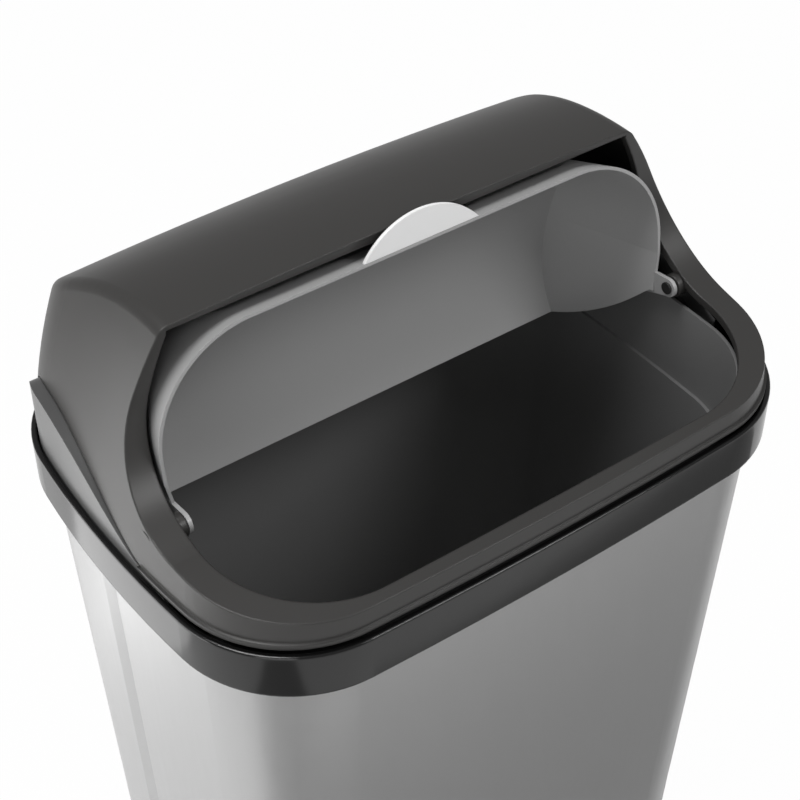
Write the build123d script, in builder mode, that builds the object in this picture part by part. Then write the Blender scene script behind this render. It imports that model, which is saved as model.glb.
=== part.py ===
from build123d import *
from math import cos, radians, sin, sqrt, tan
import os

# Roll-top kitchen bin, in millimetres. +Z is up, -Y is the front, and the origin is at
# the middle of the footprint, on the floor.

# Overall size
width = 394.0
depth = 283.0
height = 700.0
hood_rise = 152.0                      # collar's lower edge to the crown of the hood
collar_z = height - hood_rise          # collar's lower edge above the floor
half_w = width / 2
half_d = depth / 2
far = 2 * width                        # longer than anything cut
overrun = 5.0                          # how far a cutter runs past a surface

# Plan of the collar: four gently bowed sides and round corners
front_bow = 5.35
side_bow = 13.3
corner_radius = 74.0

# Walls
shell_wall = 1.5
plastic_wall = 2.5
bucket_wall = 2.0
lid_wall = 2.0

# Clearances
slide_gap = 0.5                        # between pieces that are lifted apart
swing_gap = 1.2                        # between the hood and what it swings past
pin_clearance = 0.05                   # radial, pin in a turning eye

# Silver body
body_inset = 8.3                       # body outline inside the collar's, at the collar's lower edge
body_taper = 0.034                     # inset gained for each millimetre down
body_corner = 62.5
flute_depth = 6.0
flute_start = 45.0                     # y where the flute's slope starts
flute_end = 11.0                       # y of the flute's sharp edge

# Plinth and feet
pad_height = 2.5
pad_radius = 9.0
pad_sink = 1.0                         # how far a pad sits up in its pocket
pad_play = 0.2
plinth_height = 16.0
plinth_floor = 3.0
plinth_step = 1.2                      # how far the plinth stands out past the body
pad_x = half_w - 72.0
pad_y = half_d - 69.5
screw_radius = 3.5
screw_head = 1.2
screw_shank = 1.6
screw_length = 6.4
screw_low = 0.4                        # underside of the screw's head above the floor
screw_post_radius = 4.2
screw_post_height = 5.0

# Collar band
band_height = 28.3
band_wall = 3.0
shelf_top = 21.0
shelf_thickness = 3.0
rib_height = 12.0

# Inner bucket
bucket_half_width = half_w - 23.0
bucket_half_depth = half_d - 13.0
bucket_corner = 62.0
bucket_side_bow = 4.0
bucket_front_bow = 4.5
bucket_mouth = 38.5                    # rim above the collar's lower edge
bucket_ledge = 2.6
bucket_ledge_thickness = 2.5
bucket_step = -14.0                    # moulded step on the inside
bucket_step_in = 2.0
bucket_draft = 0.05
bucket_floor_gap = 6.0                 # between the bucket and the plinth's floor

# Hood
hood_inset = 4.0
hood_base = 31.0                       # hood's lower edge above the collar's lower edge
side_radius = 239.0                    # side wall's curve, seen from the front
side_start = 4.4                       # its lean at the lower edge, in degrees
rear_lean = 0.05
barrel_radius = 167.0                  # hood's back and top, seen from the side
barrel_y = 3.0
barrel_crown = 3500.0                  # radius of the top's crown, seen from the front
hood_edge_radius = 9.0
skirt_height = 3.0                     # bead along the hood's lower edge
skirt_reach = 1.2
face_y = -5.7                          # plane of the hood's upright front
face_fillet = 62.0
sill_front_z = 45.2                    # sill's height at its front edge
sill_front_y = 7.5 - half_d
sill_slope = 6.2                       # degrees

# Opening in the hood's front
opening_half_width = half_w - 25.8
opening_mid = (half_w - 32.2, 102.0)   # half width and height along the opening's side
opening_top = (half_w - 48.5, 144.0)
opening_side_z = 62.0                  # the side is upright below this
opening_head = hood_rise - 6.0
opening_front = half_d - 13.0
opening_front_bow = 2.0
opening_corner = 66.0
opening_rear_y = 40.0                  # where the opening's cutter stops, inside the hood
opening_through = 12.0                 # how far the front's outline is carried past the middle
return_depth = 2.5                     # flange turned in around the opening
return_wall = 1.6

# Side wings that stand up from the collar beside the hood
wing_wall = 2.6
wing_depth = 7.0
wing_points = [(-54.0, 26.0), (-16.0, 40.5), (16.0, 57.0), (49.0, 68.5), (78.0, 70.5)]
wing_end_y = 97.0
wing_end_z = 54.0

# Roll lid
pivot_y = -37.0
pivot_z = 51.5
lid_radius = 93.5
rim_offset = 10.8                      # rim's plane behind the pivot
rim_tilt = 7.4                         # rim's plane from upright, in degrees
rim_half_width = half_w - 29.0
rim_corner = 62.0
rim_waist = 18.0                       # height along the rim where its sides start to close in
rim_narrowing = 0.15
lid_draft = 12.4                       # cheeks' draft, in degrees
lid_tail = -35.5                       # angle of the panel's trailing edge about the pivot
eye_radius = 6.0
pin_radius = 2.7
lug_thickness = 2.4
lug_half_x = half_w - 32.0              # middle of the lug's thickness
lug_roots = [(15.0, 4.0), (24.0, -15.0)]  # where the lug meets the cheek, from the pivot
cheek_edge = (-25.0, 43.8)             # y and height of the cheek's lower edge, at its front
cheek_start = (-21.0, 40.0)            # where that edge starts to curve down
cheek_mid = (4.0, 16.5)
under_front = 60.0                     # reach of the cutter below the lid, ahead of the pivot
under_rear = 40.0
under_drop = 120.0

# Lift tab
tab_half_width = 37.0
tab_height = 18.0
tab_thickness = 2.2

# Pivots
boss_radius = 7.0
boss_gap = 0.8
pin_reach = 12.0                       # pin's length inside its boss
pin_head = 1.2

# Rear hinge of the hood
hinge_y = half_d - 5.3
hinge_z = 35.6
knuckle_radius = 4.4
hinge_pin_radius = 1.6
hinge_x = 78.0
knuckle_width = 14.0
knuckle_gap = 0.4
leaf_rise = 22.0
leaf_thickness = 3.0
leaf_screw_rise = (9.0, 17.0)
leaf_screw_shank = 1.2
leaf_screw_radius = 2.4
leaf_screw_head = 1.2

# Bumpers behind the lift tab
bumper_x = 15.0
bumper_width = 8.0
bumper_height = 3.0
bumper_gap = 0.8

os.makedirs("parts", exist_ok=True)


def bowed(z, w, d, side, front, corner):
    """A rounded rectangle whose four sides bow outwards, on the level z."""
    a, b = w - side, d - front
    with BuildSketch(Plane.XY.offset(z)) as sketch:
        with BuildLine():
            ThreePointArc((-a, -b), (0, -d), (a, -b))
            ThreePointArc((a, -b), (w, 0), (a, b))
            ThreePointArc((a, b), (0, d), (-a, b))
            ThreePointArc((-a, b), (-w, 0), (-a, -b))
        make_face()
        fillet(sketch.vertices(), corner)
    return sketch.sketch


def collar_plan(z, inset):
    return bowed(z, half_w - inset, half_d - inset, side_bow, front_bow, corner_radius - inset)


def column(low, high, inset):
    """A solid with the collar's plan, drawn in by inset, between two levels."""
    with BuildPart() as solid:
        add(collar_plan(low, inset))
        extrude(amount=high - low)
    return solid.part


def side_prism(points_face, x_low, x_high):
    """A prism along X from a face that was drawn on the YZ plane."""
    with BuildPart() as solid:
        with BuildSketch(Plane.YZ.offset(x_low)):
            add(points_face)
        extrude(amount=x_high - x_low)
    return solid.part


def bar(x0, x1, y0, y1, z0, z1):
    with BuildPart() as solid:
        with Locations(((x0 + x1) / 2, (y0 + y1) / 2, (z0 + z1) / 2)):
            Box(x1 - x0, y1 - y0, z1 - z0)
    return solid.part


def rod(x0, x1, y, z, radius):
    with BuildPart() as solid:
        with BuildSketch(Plane.YZ.offset(x0)):
            with Locations((y, z)):
                Circle(radius)
        extrude(amount=x1 - x0)
    return solid.part


def post(x, z, y0, y1, radius):
    """A round bar along Y."""
    with BuildPart() as solid:
        with BuildSketch(Plane.XZ.offset(-y1)):
            with Locations((x, z)):
                Circle(radius)
        extrude(amount=y1 - y0)
    return solid.part


# Silver body: a tapered skin with a flute down each side
body_low = pad_height - pad_sink + plinth_floor
body_high = collar_z + shelf_top - shelf_thickness


def body_inset_at(z):
    return body_inset + body_taper * (collar_z - z)


def body_solid(low, high, wall):
    with BuildPart() as solid:
        for z in (low, high):
            i = body_inset_at(z) + wall
            add(bowed(z, half_w - i, half_d - i, side_bow, front_bow, body_corner - 0.5 * (i - body_inset)))
        loft()
        for side in (-1, 1):
            for z in (low, high):
                x = half_w - body_inset_at(z) - wall
                with BuildSketch(Plane.XY.offset(z)):
                    with BuildLine():
                        Polyline(
                            (side * (x + overrun), flute_start + wall),
                            (side * (x - flute_depth), flute_end - wall),
                            (side * (x + overrun), flute_end - wall),
                            close=True,
                        )
                    make_face()
            loft(mode=Mode.SUBTRACT)
    return solid.part


with BuildPart() as body_shell:
    add(body_solid(body_low, body_high, 0))
    add(body_solid(body_low, body_high, shell_wall), mode=Mode.SUBTRACT)
body_shell.part.label = "body_shell"

# Plinth: a tray that closes the body's foot
upwards = (Align.CENTER, Align.CENTER, Align.MIN)
shank_low = screw_low + screw_head
plinth_low = pad_height - pad_sink
plinth_inset = body_inset_at(plinth_low) - plinth_step
with BuildPart() as base_plinth:
    add(column(plinth_low, plinth_low + plinth_height, plinth_inset))
    foot = body_solid(body_low, plinth_low + plinth_height, -slide_gap / 2)
    add(foot, mode=Mode.SUBTRACT)
    with BuildPart(mode=Mode.PRIVATE) as upstand:
        add(body_solid(body_low, plinth_low + plinth_height, shell_wall + slide_gap))
        add(body_solid(body_low, plinth_low + plinth_height, shell_wall + slide_gap + plastic_wall), mode=Mode.SUBTRACT)
    add(upstand.part)
    with Locations((0, 0, plinth_low)):
        with GridLocations(2 * pad_x, 2 * pad_y, 2, 2):
            Cylinder(screw_post_radius, plinth_floor + screw_post_height, align=upwards)
            Cylinder(pad_radius, pad_sink, align=upwards, mode=Mode.SUBTRACT)
    with Locations((0, 0, shank_low)):
        with GridLocations(2 * pad_x, 2 * pad_y, 2, 2):
            Cylinder(screw_shank, screw_length, align=upwards, mode=Mode.SUBTRACT)
base_plinth.part.label = "base_plinth"

# Rubber pads in the plinth's pockets, each held by one screw from below
with BuildPart() as foot_pads:
    with GridLocations(2 * pad_x, 2 * pad_y, 2, 2):
        Cylinder(pad_radius - pad_play, pad_height, align=upwards)
        Cylinder(screw_radius + pad_play, shank_low, align=upwards, mode=Mode.SUBTRACT)
        Cylinder(screw_shank, pad_height, align=upwards, mode=Mode.SUBTRACT)
foot_pads.part.label = "foot_pads"
with BuildPart() as pad_screws:
    with Locations((0, 0, screw_low)):
        with GridLocations(2 * pad_x, 2 * pad_y, 2, 2):
            Cylinder(screw_radius, screw_head, align=upwards)
            Cylinder(screw_shank, screw_head + screw_length, align=upwards)
pad_screws.part.label = "pad_screws"

# Collar band: bright outer wall, a shelf inside it and a rib that holds the body's top
rib_inset = body_inset_at(body_high) + shell_wall + slide_gap


def bucket_plan(z, grow):
    drop = max(0.0, bucket_mouth - (z - collar_z))
    g = grow - bucket_draft * drop
    return bowed(z, bucket_half_width + g, bucket_half_depth + g, bucket_side_bow, bucket_front_bow,
                 bucket_corner + g)


with BuildPart() as collar_band:
    add(column(collar_z, collar_z + band_height, 0))
    fillet(collar_band.faces().sort_by(Axis.Z)[-1].edges(), band_wall * 0.4)
    add(column(collar_z, collar_z + shelf_top - shelf_thickness, band_wall), mode=Mode.SUBTRACT)
    add(column(collar_z + shelf_top, collar_z + band_height, band_wall), mode=Mode.SUBTRACT)
    with BuildPart(mode=Mode.PRIVATE) as rib:
        add(column(body_high - rib_height, body_high, rib_inset))
        add(body_solid(body_high - rib_height, body_high, shell_wall + slide_gap), mode=Mode.INTERSECT)
    add(rib.part)
    add(column(collar_z, collar_z + shelf_top, rib_inset + plastic_wall), mode=Mode.SUBTRACT)
    with BuildPart(mode=Mode.PRIVATE) as shelf:
        add(column(collar_z + shelf_top - shelf_thickness, collar_z + shelf_top, rib_inset))
        add(bucket_plan(collar_z + shelf_top - shelf_thickness, slide_gap + bucket_draft * bucket_mouth / 2))
        extrude(amount=shelf_thickness, mode=Mode.SUBTRACT)
    add(shelf.part)
collar_band.part.label = "collar_band"

# Inner bucket, hung from a ledge on the collar's shelf
bucket_low = plinth_low + plinth_floor + bucket_floor_gap
step_z = collar_z + bucket_step
mouth_z = collar_z + bucket_mouth
ledge_z = collar_z + shelf_top


def bucket_solid(low, high, grow):
    with BuildPart() as solid:
        add(bucket_plan(low, grow))
        add(bucket_plan(high, grow))
        loft()
    return solid.part


with BuildPart() as inner_bucket:
    add(bucket_solid(bucket_low, step_z, -bucket_step_in))
    add(bucket_solid(step_z - bucket_wall, mouth_z, 0))
    add(bucket_plan(ledge_z, bucket_ledge + bucket_draft * (bucket_mouth - shelf_top)))
    extrude(amount=bucket_ledge_thickness)
    add(bucket_solid(bucket_low + bucket_wall, step_z, -bucket_wall - bucket_step_in), mode=Mode.SUBTRACT)
    add(bucket_solid(step_z, mouth_z, -bucket_wall), mode=Mode.SUBTRACT)
inner_bucket.part.label = "inner_bucket"

# Hood: side walls that curve inwards, a barrel back and top, and a hollowed front
hood_low = collar_z + hood_base
hood_high = collar_z + hood_rise + 6
barrel_z = height - barrel_radius


def side_lean(z):
    """How far the hood's side has leaned in at the level z."""
    start = radians(side_start)
    rise = z - hood_low + side_radius * sin(start)
    return side_radius * cos(start) - sqrt(side_radius ** 2 - rise ** 2)


def hood_side(z):
    return half_w - hood_inset - side_lean(z)


def hood_mass(grow):
    """The hood's outside, or its inside with a negative grow."""
    levels = 5
    with BuildPart() as solid:
        for k in range(levels + 1):
            z = hood_low - 2 + (hood_high + 2 - hood_low) * k / levels
            lean = side_lean(max(z, hood_low))
            rear = rear_lean * (z - hood_low)
            r = corner_radius - hood_inset + grow - 0.35 * lean
            add(bowed(z, half_w - hood_inset - lean + grow, half_d - hood_inset - rear + grow,
                      side_bow, front_bow, r))
        loft()
    r = barrel_radius + grow
    end = half_w + overrun
    drop = barrel_crown - sqrt(barrel_crown ** 2 - end ** 2)
    with BuildPart() as barrel:
        with BuildSketch(Plane.XZ.offset(-barrel_y)):
            with BuildLine():
                ThreePointArc((-end, barrel_z + r - drop), (0, barrel_z + r), (end, barrel_z + r - drop))
                Polyline((end, barrel_z + r - drop), (end, barrel_z), (-end, barrel_z), (-end, barrel_z + r - drop))
            make_face()
        revolve(axis=Axis((0, barrel_y, barrel_z), (1, 0, 0)))
    with BuildPart() as whole:
        add(solid.part)
        with Locations((0, 0, (hood_low + hood_high) / 2)):
            Box(far, far, hood_high - hood_low, mode=Mode.INTERSECT)
        add(barrel.part, mode=Mode.INTERSECT)
        fillet(whole.faces().sort_by(Axis.Z)[-1].edges(), hood_edge_radius + grow)
    return whole.part


def front_hollow(shift):
    """What the concave front takes away; shift moves it into the hood."""
    y = face_y + shift
    z = collar_z + sill_front_z - shift
    slope = tan(radians(sill_slope))
    corner_z = z + slope * (y - sill_front_y)
    reach = 60
    with BuildSketch() as face:
        with BuildLine():
            Polyline(
                (y, hood_high + reach),
                (y, corner_z),
                (sill_front_y - reach, z - slope * reach),
                (sill_front_y - reach, hood_high + reach),
                close=True,
            )
        make_face()
        fillet(face.vertices().sort_by(lambda v: (v.X - y) ** 2 + (v.Y - corner_z) ** 2)[0], face_fillet + shift)
    return side_prism(face.sketch, -far / 2, far / 2)


def opening(grow, low):
    """The way in: its sides follow the hood's sides, its front has round corners."""
    side_x, head = opening_half_width + grow, collar_z + opening_head
    with BuildPart() as front:
        with BuildSketch(Plane.XZ.offset(half_d + overrun)):
            with BuildLine():
                right = [
                    (side_x, collar_z + opening_side_z),
                    (opening_mid[0] + grow, collar_z + opening_mid[1]),
                    (opening_top[0] + grow, collar_z + opening_top[1]),
                ]
                ThreePointArc(*right)
                ThreePointArc(*[(-x, z) for x, z in right])
                top_x = opening_top[0] + grow
                top_z = collar_z + opening_top[1]
                Polyline((top_x, top_z), (top_x, head), (-top_x, head), (-top_x, top_z))
                Polyline((side_x, collar_z + opening_side_z), (side_x, low), (-side_x, low),
                         (-side_x, collar_z + opening_side_z))
            make_face()
        extrude(amount=-(half_d + overrun) - opening_through)
    with BuildPart() as plan:
        with BuildSketch(Plane.XY.offset(low)):
            with BuildLine():
                y = opening_front + grow
                ThreePointArc((-side_x, -y + opening_front_bow), (0, -y), (side_x, -y + opening_front_bow))
                Polyline((side_x, -y + opening_front_bow), (side_x, opening_rear_y), (-side_x, opening_rear_y),
                         (-side_x, -y + opening_front_bow))
            corner = make_face()
            fillet(corner.vertices().sort_by(Axis.Y)[:2], opening_corner + grow)
        extrude(amount=head - low)
        add(front.part, mode=Mode.INTERSECT)
    return plan.part


def wing_face(grow, drop):
    """The wing's outline on the YZ plane, with its top raised and its rear moved by grow."""
    low = collar_z + shelf_top - drop
    with BuildSketch() as face:
        with BuildLine():
            points = [(y - grow, collar_z + z + grow) for y, z in wing_points[:3]]
            points += [(y, collar_z + z + grow) for y, z in wing_points[3:]]
            top = Spline(*points)
            rear = (wing_end_y + grow, collar_z + wing_end_z)
            end = Bezier(top @ 1, (top @ 1) + (top % 1) * 13, (rear[0], rear[1] + 10), rear)
            Polyline(end @ 1, (rear[0], low), (points[0][0], low), points[0])
        make_face()
    return face.sketch


with BuildPart() as hood_outer:
    add(hood_mass(0))
    add(front_hollow(0), mode=Mode.SUBTRACT)
    add(column(hood_low, hood_low + skirt_height, hood_inset - skirt_reach))
with BuildPart() as hood_inner:
    add(hood_mass(-plastic_wall))
    add(front_hollow(plastic_wall), mode=Mode.SUBTRACT)
mouth_low = hood_low + 2 * plastic_wall
mouth = opening(0, mouth_low)
with BuildPart() as return_flange:
    add(opening(return_wall, mouth_low))
    add(mouth, mode=Mode.SUBTRACT)
    add(front_hollow(plastic_wall + return_depth), mode=Mode.INTERSECT)
    add(front_hollow(plastic_wall / 2), mode=Mode.SUBTRACT)
    add(hood_mass(-plastic_wall / 2), mode=Mode.INTERSECT)
hinge_high = collar_z + hinge_z
leaf_half = 1.5 * knuckle_width + knuckle_gap
wall_y = half_d - hood_inset - rear_lean * leaf_rise - front_bow * (hinge_x / half_w) ** 2
leaf_face = wall_y - plastic_wall - leaf_thickness
leaf_screw_at = [(side * hinge_x, hinge_high + rise) for side in (-1, 1) for rise in leaf_screw_rise]
with BuildPart() as hood_shell:
    add(hood_outer.part)
    add(hood_inner.part, mode=Mode.SUBTRACT)
    add(mouth, mode=Mode.SUBTRACT)
    add(return_flange.part)
    for side in (-1, 1):
        add(side_prism(wing_face(swing_gap, swing_gap), side * (half_w - corner_radius), side * far),
            mode=Mode.SUBTRACT)
        add(bar(side * hinge_x - leaf_half - swing_gap, side * hinge_x + leaf_half + swing_gap,
                hinge_y - 2 * knuckle_radius, half_d, hood_low, hinge_high + knuckle_radius + swing_gap),
            mode=Mode.SUBTRACT)
    for x, z in leaf_screw_at:
        add(post(x, z, leaf_face, wall_y - plastic_wall / 3, leaf_screw_shank), mode=Mode.SUBTRACT)
hood_shell.part.label = "hood_shell"

# Rear hinges: two outer knuckles on the collar's shelf, one middle knuckle on a leaf inside the hood
with BuildPart() as collar_knuckles:
    for side in (-1, 1):
        for end in (-1, 1):
            x = side * hinge_x + end * (knuckle_width + knuckle_gap)
            x0, x1 = x - knuckle_width / 2, x + knuckle_width / 2
            add(rod(x0, x1, hinge_y, hinge_high, knuckle_radius))
            add(bar(x0, x1, hinge_y - knuckle_radius, hinge_y, ledge_z, hinge_high))
            add(rod(x0, x1, hinge_y, hinge_high, hinge_pin_radius), mode=Mode.SUBTRACT)
    add(column(ledge_z, hood_high, band_wall), mode=Mode.INTERSECT)
collar_knuckles.part.label = "collar_knuckles"
with BuildPart() as hood_leaves:
    for side in (-1, 1):
        x0, x1 = side * hinge_x - knuckle_width / 2, side * hinge_x + knuckle_width / 2
        add(rod(x0, x1, hinge_y, hinge_high, knuckle_radius))
        add(bar(x0, x1, leaf_face, wall_y - plastic_wall / 2, hinge_high, hinge_high + leaf_rise))
        add(rod(x0, x1, hinge_y, hinge_high, hinge_pin_radius + pin_clearance), mode=Mode.SUBTRACT)
    for x, z in leaf_screw_at:
        add(post(x, z, leaf_face, wall_y, leaf_screw_shank), mode=Mode.SUBTRACT)
    add(hood_shell.part, mode=Mode.SUBTRACT)
hood_leaves.part.label = "hood_leaves"
with BuildPart() as leaf_screws:
    for x, z in leaf_screw_at:
        add(post(x, z, leaf_face, wall_y - plastic_wall / 3, leaf_screw_shank))
        add(post(x, z, leaf_face - leaf_screw_head, leaf_face, leaf_screw_radius))
leaf_screws.part.label = "leaf_screws"
with BuildPart() as hinge_pins:
    for side in (-1, 1):
        add(rod(side * hinge_x - leaf_half, side * hinge_x + leaf_half, hinge_y, hinge_high, hinge_pin_radius))
hinge_pins.part.label = "hinge_pins"

# Side wings: upright plates on the collar's shelf, with a web that closes the gap to the hood
wing_outer = column(ledge_z, hood_high, hood_inset)
wing_inner = column(ledge_z, hood_high, hood_inset + wing_wall)
wing_limit = column(ledge_z, hood_high, hood_inset + wing_wall + wing_depth)
wings = {}
for side, name in ((-1, "side_wing_left"), (1, "side_wing_right")):
    low_x, high_x = sorted((side * (half_w - corner_radius), side * far))
    with BuildPart() as wing:
        add(side_prism(wing_face(0, 0), low_x, high_x))
        add(wing_outer, mode=Mode.INTERSECT)
        add(wing_limit, mode=Mode.SUBTRACT)
        with BuildPart(mode=Mode.PRIVATE) as room:
            add(side_prism(wing_face(-wing_wall, wing_wall + 1), low_x, high_x))
            add(wing_inner, mode=Mode.INTERSECT)
        add(room.part, mode=Mode.SUBTRACT)
    wing.part.label = name
    wings[name] = wing

# Roll lid: an open scoop that turns about the pivots, drawn on its rim's plane
tilt = radians(rim_tilt)
pivot_high = collar_z + pivot_z
rim_origin = (0, pivot_y + rim_offset * cos(tilt), pivot_high - rim_offset * sin(tilt))
rim_plane = Plane(origin=rim_origin, x_dir=(1, 0, 0), z_dir=(0, -cos(tilt), sin(tilt)))
rim_top = sqrt(lid_radius ** 2 - rim_offset ** 2)
rim_low = -75.0


def scoop(wall, radius):
    """The scoop's outside, or its hollow with a wall."""
    half, top = rim_half_width - wall, rim_top - wall * 1.02
    foot = half - rim_narrowing * (rim_waist - rim_low)
    with BuildPart() as solid:
        with BuildSketch(rim_plane):
            with BuildLine():
                Polyline((-foot, rim_low), (-half, rim_waist), (-half, top), (half, top), (half, rim_waist),
                         (foot, rim_low), close=True)
            outline = make_face()
            fillet(outline.vertices().sort_by(Axis.Y)[-2:], rim_corner - wall)
        extrude(amount=-1.1 * radius, taper=lid_draft)
        add(rod(-far / 2, far / 2, pivot_y, pivot_high, radius), mode=Mode.INTERSECT)
    return solid.part


tail = radians(lid_tail)
tail_y, tail_z = pivot_y + lid_radius * cos(tail), pivot_high + lid_radius * sin(tail)
with BuildSketch() as under:
    with BuildLine():
        edge_z = collar_z + cheek_edge[1]
        Polyline((pivot_y - under_front, edge_z), (cheek_edge[0], edge_z),
                 (cheek_start[0], collar_z + cheek_start[1]))
        ThreePointArc((cheek_start[0], collar_z + cheek_start[1]), (cheek_mid[0], collar_z + cheek_mid[1]),
                      (tail_y, tail_z))
        Polyline((tail_y, tail_z), (tail_y + under_rear, tail_z + under_rear * tan(tail)),
                 (tail_y + under_rear, tail_z - under_drop), (pivot_y - under_front, tail_z - under_drop),
                 (pivot_y - under_front, edge_z))
    make_face()

with BuildPart() as roll_lid:
    add(scoop(0, lid_radius))
    add(scoop(lid_wall, lid_radius - lid_wall), mode=Mode.SUBTRACT)
    add(side_prism(under.sketch, -far / 2, far / 2), mode=Mode.SUBTRACT)
    for side in (-1, 1):
        x = side * lug_half_x - lug_thickness / 2
        with BuildSketch(Plane.YZ.offset(x)):
            with BuildLine():
                roots = [(pivot_y + y, pivot_high + z) for y, z in lug_roots]
                Polyline((pivot_y, pivot_high + eye_radius), *roots, (pivot_y, pivot_high - eye_radius), close=True)
            make_face()
            with Locations((pivot_y, pivot_high)):
                Circle(eye_radius)
        extrude(amount=lug_thickness)
        with Locations(Location((x, pivot_y, pivot_high), (0, 90, 0))):
            Cylinder(pin_radius + pin_clearance, 4 * lug_thickness, mode=Mode.SUBTRACT)
roll_lid.part.label = "roll_lid"

# Lift tab: a half moon on the rim's plane
tab_radius = (tab_half_width ** 2 + tab_height ** 2) / (2 * tab_height)
with BuildPart() as lift_tab:
    with BuildSketch(rim_plane):
        with BuildLine():
            ThreePointArc((-tab_half_width, rim_top), (0, rim_top + tab_height), (tab_half_width, rim_top))
            Polyline((tab_half_width, rim_top), (tab_half_width, rim_top - 2), (-tab_half_width, rim_top - 2),
                     (-tab_half_width, rim_top))
        make_face()
    extrude(amount=-tab_thickness)
    add(rod(-far / 2, far / 2, pivot_y, pivot_high, lid_radius), mode=Mode.SUBTRACT)
lift_tab.part.label = "lift_tab"

# Pivots: a boss on each side of the hood, and a headed pin through the lid's eye
pivots = {}
boss_start = lug_half_x + lug_thickness / 2 + boss_gap
boss_end = hood_side(pivot_high) - side_bow * (pivot_y / half_d) ** 2 - plastic_wall / 2
pin_start = lug_half_x - lug_thickness / 2 - pin_clearance - pin_head
for side, name in ((-1, "left"), (1, "right")):
    low_x, high_x = sorted((side * boss_start, side * boss_end))
    with BuildPart() as boss:
        add(rod(low_x, high_x, pivot_y, pivot_high, boss_radius))
        add(hood_shell.part, mode=Mode.SUBTRACT)
        low_x, high_x = sorted((side * (boss_start - 1), side * (boss_start + pin_reach)))
        add(rod(low_x, high_x, pivot_y, pivot_high, pin_radius), mode=Mode.SUBTRACT)
    boss.part.label = f"pivot_boss_{name}"
    with BuildPart() as pin:
        low_x, high_x = sorted((side * (pin_start + pin_head), side * (boss_start + pin_reach)))
        add(rod(low_x, high_x, pivot_y, pivot_high, pin_radius))
        low_x, high_x = sorted((side * pin_start, side * (pin_start + pin_head)))
        add(rod(low_x, high_x, pivot_y, pivot_high, pin_radius * 1.4))
    pin.part.label = f"pivot_pin_{name}"
    pivots[boss.part.label] = boss
    pivots[pin.part.label] = pin

# Bumpers on the hood's head, behind the lift tab
bumper_z = collar_z + opening_head + 0.2
tab_back = rim_origin[1] + (bumper_z - rim_origin[2]) * tan(tilt) + tab_thickness / cos(tilt)
with BuildPart() as lid_bumpers:
    for x in (-bumper_x, bumper_x):
        add(bar(x - bumper_width / 2, x + bumper_width / 2, tab_back + bumper_gap, face_y,
                bumper_z, bumper_z + bumper_height))
lid_bumpers.part.label = "lid_bumpers"

kept = [body_shell, base_plinth, foot_pads, collar_band, inner_bucket, hood_shell, *wings.values(),
        collar_knuckles, hood_leaves, hinge_pins, leaf_screws, pad_screws,
        roll_lid, lift_tab, *pivots.values(), lid_bumpers]
for piece in kept:
    export_step(piece.part, f"parts/{piece.part.label}.step")
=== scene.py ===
# %% [markdown]
# # A roll-top kitchen bin
# The solids of this bin come ready made, at their real size, in metres. This script gives
# them plastics, metal and rubber with a fine moulded texture, and sets up the camera and the
# lamps. Everything stays where the solids are, so each finish is written for the named
# piece that wears it.

import math

import bpy
from mathutils import Matrix, Vector


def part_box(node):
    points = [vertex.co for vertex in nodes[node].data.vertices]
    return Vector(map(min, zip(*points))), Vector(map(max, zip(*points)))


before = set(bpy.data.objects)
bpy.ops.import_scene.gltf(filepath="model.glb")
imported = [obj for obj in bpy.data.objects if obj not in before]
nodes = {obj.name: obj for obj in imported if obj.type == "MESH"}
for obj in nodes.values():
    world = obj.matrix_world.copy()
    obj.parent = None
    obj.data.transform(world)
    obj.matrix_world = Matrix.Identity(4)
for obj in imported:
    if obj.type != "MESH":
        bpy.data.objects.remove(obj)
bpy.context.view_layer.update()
MM = 0.001

# %% [markdown]
# ## Camera
# The bin is seen from the front and left, well above its rim, with a long lens that keeps
# the verticals nearly parallel. The view is given by how far it looks down and round, and
# by the distance to a point over the collar's lower edge.

# %% Camera
COLLAR_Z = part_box("collar_band")[0].z
LENS, FILM = 77.29, 36
LOOK_DOWN = math.radians(40.77)
LOOK_ROUND = math.radians(36.34)
TARGET = Vector((12.7 * MM, 22.94 * MM, COLLAR_Z))
DISTANCE = 1012.8 * MM

away = Vector((math.sin(LOOK_ROUND) * math.cos(LOOK_DOWN),
               math.cos(LOOK_ROUND) * math.cos(LOOK_DOWN), -math.sin(LOOK_DOWN)))
right = Vector((math.cos(LOOK_ROUND), -math.sin(LOOK_ROUND), 0))
up = right.cross(away)
camera = bpy.data.objects.new("camera", bpy.data.cameras.new("camera"))
bpy.context.scene.collection.objects.link(camera)
camera.data.lens = LENS
camera.data.sensor_width = FILM
camera.data.clip_start, camera.data.clip_end = 0.01, 100
camera.matrix_world = Matrix((
    (right.x, up.x, -away.x, 0),
    (right.y, up.y, -away.y, 0),
    (right.z, up.z, -away.z, 0),
    (0, 0, 0, 1),
))
camera.location = TARGET - away * DISTANCE
bpy.context.scene.camera = camera
bpy.context.scene.view_settings.view_transform = "Standard"
print("camera at", [round(v, 3) for v in camera.location])

# %% [markdown]
# ## Shader sums
# A finish is a small sum of noises and masks. `Signal` wraps a node's output, so that the
# sum is written with ordinary signs, and `Finish` makes a material round one Principled
# shader, with one method for every kind of node.

# %% Signals and finishes


class Signal:
    """A node's output that can be added, multiplied and so on."""

    def __init__(self, finish, socket):
        self.finish, self.socket = finish, socket

    def sum_of(self, operation, *values):
        return self.finish.node("Math", {"operation": operation}, dict(enumerate(values)))

    def __add__(self, other):
        return self.sum_of("ADD", self, other)

    def __mul__(self, other):
        return self.sum_of("MULTIPLY", self, other)

    __radd__, __rmul__ = __add__, __mul__


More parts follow.
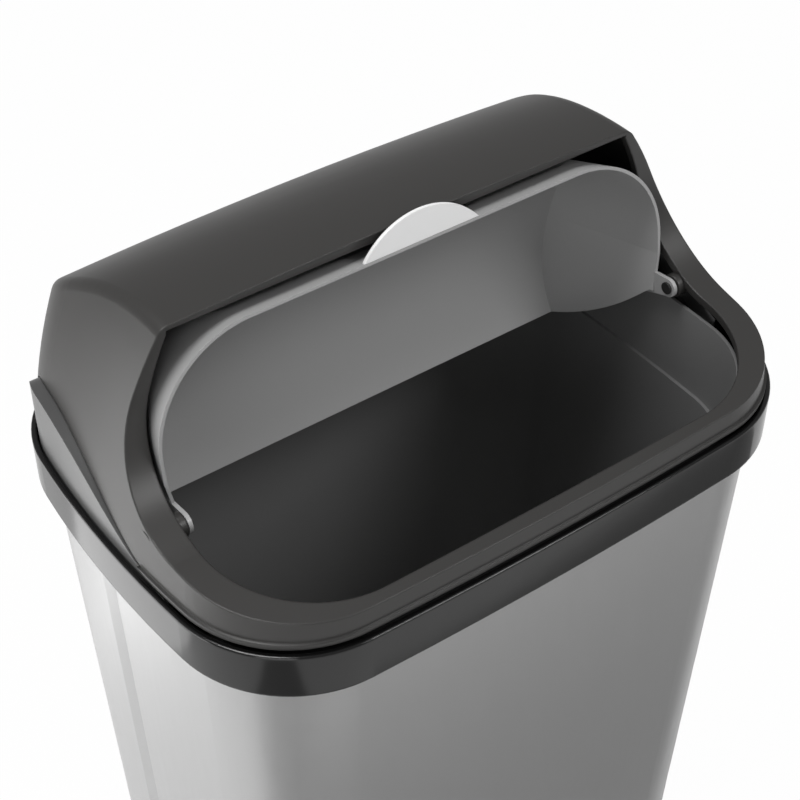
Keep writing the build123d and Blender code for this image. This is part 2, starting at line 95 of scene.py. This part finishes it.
class Finish:
    """A material with a Principled shader at its end."""

    def __init__(self, name, colour, roughness, metallic=0.0, coat=0.0, ior=1.5):
        self.material = bpy.data.materials.new(name)
        self.material.use_nodes = True
        self.tree = self.material.node_tree
        self.shader = self.tree.nodes["Principled BSDF"]
        self.set("Base Color", (*colour, 1))
        self.set("Roughness", roughness)
        self.set("Metallic", metallic)
        self.set("Coat Weight", coat)
        self.set("IOR", ior)
        self.place = self.node("TexCoord", output="Object")

    def set(self, socket, value):
        """Gives one of the shader's sockets a value or a link."""
        self.fill(self.shader.inputs[socket], value)

    def fill(self, socket, value):
        if isinstance(value, Signal):
            self.tree.links.new(value.socket, socket)
        else:
            socket.default_value = value

    def node(self, kind, settings=None, values=None, output=0):
        """Makes any node: its settings first, then the values or links of its sockets."""
        made = self.tree.nodes.new("ShaderNode" + kind)
        for name, value in (settings or {}).items():
            setattr(made, name, value)
        for socket, value in (values or {}).items():
            self.fill(made.inputs[socket], value)
        return Signal(self, made.outputs[output])

    def noise(self, scale, detail=2.0, stretch=(1, 1, 1)):
        place = self.node("Mapping", {}, {"Vector": self.place, "Scale": stretch})
        return self.node("TexNoise", {}, {"Vector": place, "Scale": scale, "Detail": detail}, "Fac")

    def band(self, value, low, high):
        """0 below low, 1 above high and a soft step between."""
        settings = {"interpolation_type": "SMOOTHSTEP"}
        return self.node("MapRange", settings, {"Value": value, "From Min": low, "From Max": high})

    def blend(self, amount, first, second):
        """A colour between two colours."""
        return self.node("Mix", {"data_type": "RGBA"}, {"Factor": amount, 6: first, 7: second}, 2)

    def bump(self, height, depth, strength=1.0, edge=0.0):
        """A shallow relief, over edges that are rounded by the radius edge."""
        values = {"Height": height, "Distance": depth, "Strength": strength}
        if edge:
            values["Normal"] = self.node("Bevel", {"samples": 6}, {"Radius": edge})
        self.set("Normal", self.node("Bump", {}, values))

    def wear(self, *names):
        """Gives the finish to the named solids."""
        for name in names:
            mesh = nodes[name].data
            mesh.materials.clear()
            mesh.materials.append(self.material)


def grey(level, warm=0.0):
    """A linear colour from a 0 to 255 screen level, a little warmer or cooler."""
    def linear(v):
        v = v / 255
        return v / 12.92 if v <= 0.04045 else ((v + 0.055) / 1.055) ** 2.4
    return linear(level + warm), linear(level), linear(level - warm)


# %% [markdown]
# ## Silver skin
# The body has a satin silver coat, and the photo doesn't tell what lies under it. The coat
# mirrors the room very softly, so the shader is mostly metallic with a fair roughness, and
# a fine upright grain keeps the long gradients alive.

# %% Silver skin
UPRIGHT = (1, 1, 0.12)
silver = Finish("silver_lacquer", grey(188), 0.34, metallic=0.85)
grain = silver.noise(260, 3, stretch=UPRIGHT)
silver.set("Roughness", 0.30 + 0.08 * grain)
silver.bump(silver.noise(2600), 0.01 * MM, 0.4, edge=1.5 * MM)
silver.wear("body_shell")
print("silver skin:", len(silver.tree.nodes), "shader nodes")

# %% [markdown]
# ## Black and grey plastics
# The collar is moulded with a mirror finish, the hood with a silky one and a fine spark
# texture, the wings with a coarser one. One grey recipe serves them all: a plain colour, a
# roughness that drifts slightly, and a shallow bump.

# %% Plastics
BUCKET_PAINTED_LIGHT_Z, BUCKET_PAINTED_LIGHT_END_Z = 0.25, 0.5


def plastic(name, colour, roughness, texture, depth, coat=0.0, edge=0.6):
    """A moulded plastic; texture is how many grains fit in a metre."""
    made = Finish(name, colour, roughness, coat=coat)
    drift = made.noise(14, 2)
    made.set("Roughness", roughness - 0.03 + 0.06 * drift)
    made.bump(made.noise(texture, 3), depth * MM, 0.6, edge * MM)
    return made


collar = plastic("collar_gloss_black", grey(16), 0.10, 90, 0.02, edge=1.4)
collar.wear("collar_band", "collar_knuckles")
hood = plastic("hood_satin_grey", grey(52, 1), 0.36, 2400, 0.02, edge=1.6)
hood.wear("hood_shell", "hood_leaves", "pivot_boss_left", "pivot_boss_right", "lid_bumpers")
wing = plastic("wing_textured_grey", grey(84), 0.30, 420, 0.06)
wing.wear("side_wing_left", "side_wing_right")
bucket = plastic("bucket_charcoal", grey(112), 0.42, 1500, 0.02)
# Painted light: the bucket is paler low down, fading from grey 150 below 0.25 m to grey 118 above
# 0.5 m, as if light reached its deep inside.
height = bucket.node("SeparateXYZ", {}, {"Vector": bucket.place}, "Z")
painted_light_fade = bucket.band(height, BUCKET_PAINTED_LIGHT_Z, BUCKET_PAINTED_LIGHT_END_Z)
bucket.set("Base Color", bucket.blend(painted_light_fade, (*grey(150), 1), (*grey(118), 1)))
bucket.wear("inner_bucket")
plinth = plastic("plinth_black", grey(40), 0.5, 1800, 0.03)
plinth.wear("base_plinth")
rubber = plastic("pad_rubber", grey(34), 0.75, 1500, 0.04)
rubber.wear("foot_pads")
pin = plastic("pivot_pin_dark", grey(38), 0.35, 2000, 0.02)
pin.wear("pivot_pin_left", "pivot_pin_right")
lid = plastic("lid_silver_grey", grey(168), 0.30, 2000, 0.01)
lid.wear("roll_lid")
# Painted highlight: the tab is the lid's plastic made near white, for the light it catches.
highlight_tab = plastic("tab_painted_highlight", grey(245), 0.35, 2000, 0.01)
highlight_tab.wear("lift_tab")
steel = Finish("screw_steel", grey(185), 0.28, metallic=1.0)
steel.bump(steel.noise(1500, 2, stretch=(1, 1, 0.2)), 0.01 * MM, 0.3)
steel.wear("hinge_pins", "leaf_screws", "pad_screws")
print("finishes:", [material.name for material in bpy.data.materials])

# %% [markdown]
# ## Floor
# The bin stands on a white floor that keeps its shadow. The rest of the floor looks plain
# white, because most of what the camera sees of it is its own light. Reflections get less
# of that light, so the lower front of the body doesn't turn white.

# %% Floor
bpy.ops.mesh.primitive_plane_add(size=30, location=(0, 0, 0))
floor = bpy.context.active_object
floor.name = "floor"
CAMERA_GLOW, GLOSS_GLOW = 0.98, 0.36


def paper_for(ground):
    """White paper: part its own light, more of it to the camera than to a reflection."""
    paper = Finish("floor_paper", (0.8, 0.8, 0.8), 1.0)
    paper.set("Specular IOR Level", 0.0)
    seen = paper.node("LightPath", output="Is Camera Ray") * CAMERA_GLOW
    mirrored = paper.node("LightPath", output="Is Glossy Ray") * GLOSS_GLOW
    glow = paper.node("Emission", {}, {"Color": (1, 1, 1, 1)})
    lit = Signal(paper, paper.shader.outputs[0])
    both = paper.node("MixShader", {}, {0: seen + mirrored, 1: lit, 2: glow})
    paper.tree.links.new(both.socket, paper.tree.nodes["Material Output"].inputs["Surface"])
    ground.data.materials.append(paper.material)


paper_for(floor)
print("floor light to camera and to reflections:", CAMERA_GLOW, GLOSS_GLOW)

# %% [markdown]
# ## Lamps
# A low panel at the left gives the bright flank. The high ones at the right and overhead
# reach into the mouth and shade the top of the hood, and a weak one near the floor adds a
# faint sheen to the collar's left side. All are soft, so no shadow has a hard edge.

# %% Lamps and sky


def lamp(name, place, size, power, aim=(0, 0, 0.5)):
    """A soft square lamp, in watts, that looks at a point of the bin."""
    made = bpy.data.objects.new(name, bpy.data.lights.new(name, "AREA"))
    bpy.context.scene.collection.objects.link(made)
    made.data.shape = "SQUARE"
    made.data.size = size
    made.data.energy = power
    made.location = place
    made.rotation_euler = (Vector(aim) - Vector(place)).to_track_quat("-Z", "Y").to_euler()
    return made


lamp("left_panel", (-1.3, 0.5, 0.35), 1.1, 12, (-0.2, 0.1, 0.4))
lamp("left_streak", (-0.52, 0.42, 0.12), 0.4, 0.5, (-0.2, 0, 0.56)).visible_camera = False
lamp("left_lamp", (-1.9, -1.7, 1.0), 1.2, 12)
lamp("front_lamp", (1.0, -1.6, 2.3), 0.9, 20, (0, 0, 0.6))
lamp("top_lamp", (-0.6, 0.2, 2.6), 0.9, 26, (0, 0, 0.6))

SKY = 0.30
world = bpy.data.worlds.new("studio")
world.use_nodes = True
sky = world.node_tree.nodes["Background"].inputs
sky["Color"].default_value = (1, 1, 1, 1)
sky["Strength"].default_value = SKY
bpy.context.scene.world = world
lights = [made for made in bpy.data.objects if made.type == "LIGHT"]
print("lamps in watts:", {made.name: round(made.data.energy, 1) for made in lights})

# %% [markdown]
# ## Card
# A white floor mirrored in the body would leave it flat and pale. Studios lay a dark card
# before a glossy thing, and so does this cell: only reflections see it.

# %% Dark card
CARD_LIFT = 0.004


def dark_card(name, x, y, wide, deep):
    """A flat dark card, just over the floor, that only reflections see."""
    bpy.ops.mesh.primitive_plane_add(size=1, location=(x, y, CARD_LIFT))
    card = bpy.context.active_object
    card.name = name
    card.scale = (wide, deep, 1)
    card.visible_camera = card.visible_shadow = card.visible_diffuse = False
    card.data.materials.append(Finish(name, (0.3, 0.3, 0.3), 1.0).material)


dark_card("front_card", 0.1, -0.35, 1.4, 0.36)
